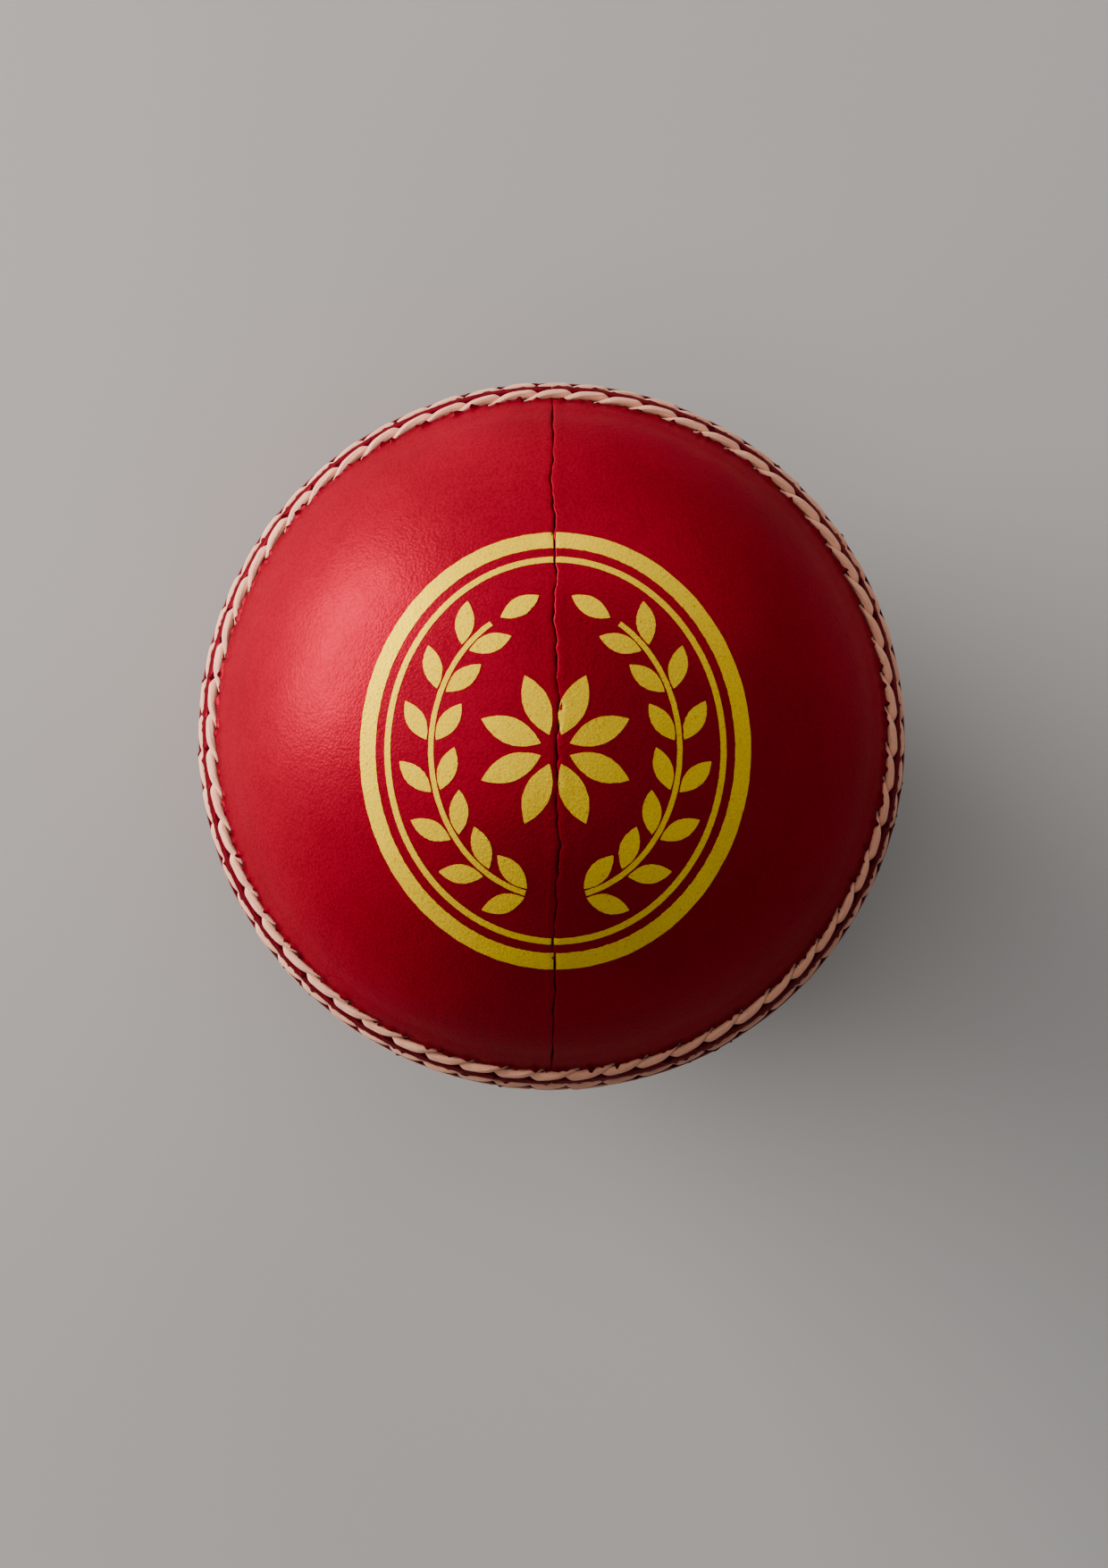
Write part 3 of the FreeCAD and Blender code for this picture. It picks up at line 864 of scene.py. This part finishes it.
def plain_thread_material():
    n = Nodes("hidden_thread")
    where = n.place()
    strand = n.noise(where, 3000, 4.0, 0.6)
    colour = n.ramp(strand, (0.35, (0.55, 0.42, 0.30)), (0.65, (0.80, 0.68, 0.52)))
    return n.surface(Base_Color=colour, Roughness=n.scaled(strand, 0.2, 0.6),
                     Normal=n.bump(strand, 0.0001, 0.5))


def dress(node, material):
    """Gives a CAD node that no piece replaces its own material."""
    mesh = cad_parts[node].data
    mesh.materials.clear()
    mesh.materials.append(material)


# ---------------------------------------------------------------- stage, lights, camera


def stage_material():
    n = Nodes("pale_floor")
    where = n.place()
    cloud = n.noise(where, 6.0, 3.0)
    colour = n.ramp(cloud, (0.3, (0.36, 0.355, 0.345)), (0.7, (0.39, 0.385, 0.375)))
    return n.surface(Base_Color=colour, Roughness=0.75)


def floor(level):
    """Square of floor under the ball; beyond it the grey world is the backdrop."""
    square = ((-1, -1), (1, -1), (1, 1), (-1, 1))
    corners = [(x * FLOOR_REACH, y * FLOOR_REACH, level) for x, y in square]
    mesh = bpy.data.meshes.new("floor")
    mesh.from_pydata(corners, [], [(0, 1, 2, 3)])
    mesh.materials.append(stage_material())
    piece = bpy.data.objects.new("floor", mesh)
    bpy.context.scene.collection.objects.link(piece)
    piece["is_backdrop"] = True


def aim(item, target, up=(0, 0, 1)):
    """Turns a light or camera to look at a point, with a chosen direction up in its picture."""
    back = (item.location - Vector(target)).normalized()
    right = Vector(up).cross(back).normalized()
    turn = Matrix((right, back.cross(right), back)).transposed()
    item.rotation_euler = turn.to_euler()


def soft_light(name, place, size_x, size_y, power, colour):
    data = bpy.data.lights.new(name, "AREA")
    data.shape = "RECTANGLE"
    data.size, data.size_y = size_x, size_y
    data.energy = power
    data.color = colour
    light = bpy.data.objects.new(name, data)
    light.location = place
    bpy.context.scene.collection.objects.link(light)
    aim(light, (0, 0, 0))


def world_light(strength):
    world = bpy.data.worlds.new("soft_room")
    world.use_nodes = True
    background = world.node_tree.nodes["Background"]
    background.inputs["Color"].default_value = (0.80, 0.85, 0.92, 1)
    background.inputs["Strength"].default_value = strength
    bpy.context.scene.world = world


def camera():
    """Looks down on the upper cup, a degree or two off its pole axis, through a long lens."""
    low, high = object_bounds()
    radius = (high.x - low.x) / 2
    centre = (low + high) / 2
    tilt, swing = math.radians(CAMERA_TILT), math.radians(CAMERA_SWING)
    off_axis = math.sin(tilt)
    way = Vector((off_axis * math.sin(swing), -off_axis * math.cos(swing), math.cos(tilt)))
    data = bpy.data.cameras.new("camera")
    data.sensor_width = 36.0
    data.lens = CAMERA_LENS
    data.clip_start, data.clip_end = 0.05, 50.0
    item = bpy.data.objects.new("camera", data)
    item.location = centre + way * (CAMERA_DISTANCE * radius)
    bpy.context.scene.collection.objects.link(item)
    aim(item, centre + Vector(CAMERA_TARGET) * radius, up=(0, 1, 0))
    bpy.context.scene.camera = item


# ---------------------------------------------------------------- the ball


def build():
    """Draws the cover, its stitches and its mark, and dresses the CAD's inner pieces."""
    red = leather_material()
    thread = thread_material()
    leather_quarter("upper_right_leather_quarter", 0, 1, red)
    leather_quarter("upper_left_leather_quarter", 0, -1, red)
    leather_quarter("lower_back_leather_quarter", 1, 1, red)
    leather_quarter("lower_front_leather_quarter", 1, -1, red)
    for row, name in enumerate(ROWS):
        stitch_row(f"upper_{name}_stitch_row", 0, row, thread)
        stitch_row(f"lower_{name}_stitch_row", 1, row, thread)
    foil_mark(foil_material())
    cork, wool = cork_material(), wool_material()
    hidden, lining = plain_thread_material(), lining_material()
    dress("cork_rubber_nucleus", nucleus_material())
    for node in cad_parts:
        if node.startswith("cork_layer"):
            dress(node, cork)
        elif node.startswith("wool_winding"):
            dress(node, wool)
        elif node.endswith("backing_strip"):
            dress(node, lining)
        elif node.endswith("thread"):
            dress(node, hidden)


build()
camera()
floor(CAD_BOX[0][2])
soft_light("key", (-0.64, 0.29, 0.13), 0.60, 0.26, 17.0, (1.0, 0.95, 0.90))
soft_light("over", (-0.25, 0.05, 1.00), 1.00, 1.00, 5.2, (1.0, 0.97, 0.94))
soft_light("top", (0.38, 0.80, 0.42), 1.20, 0.50, 4.2, (1.0, 0.96, 0.93))
world_light(0.10)
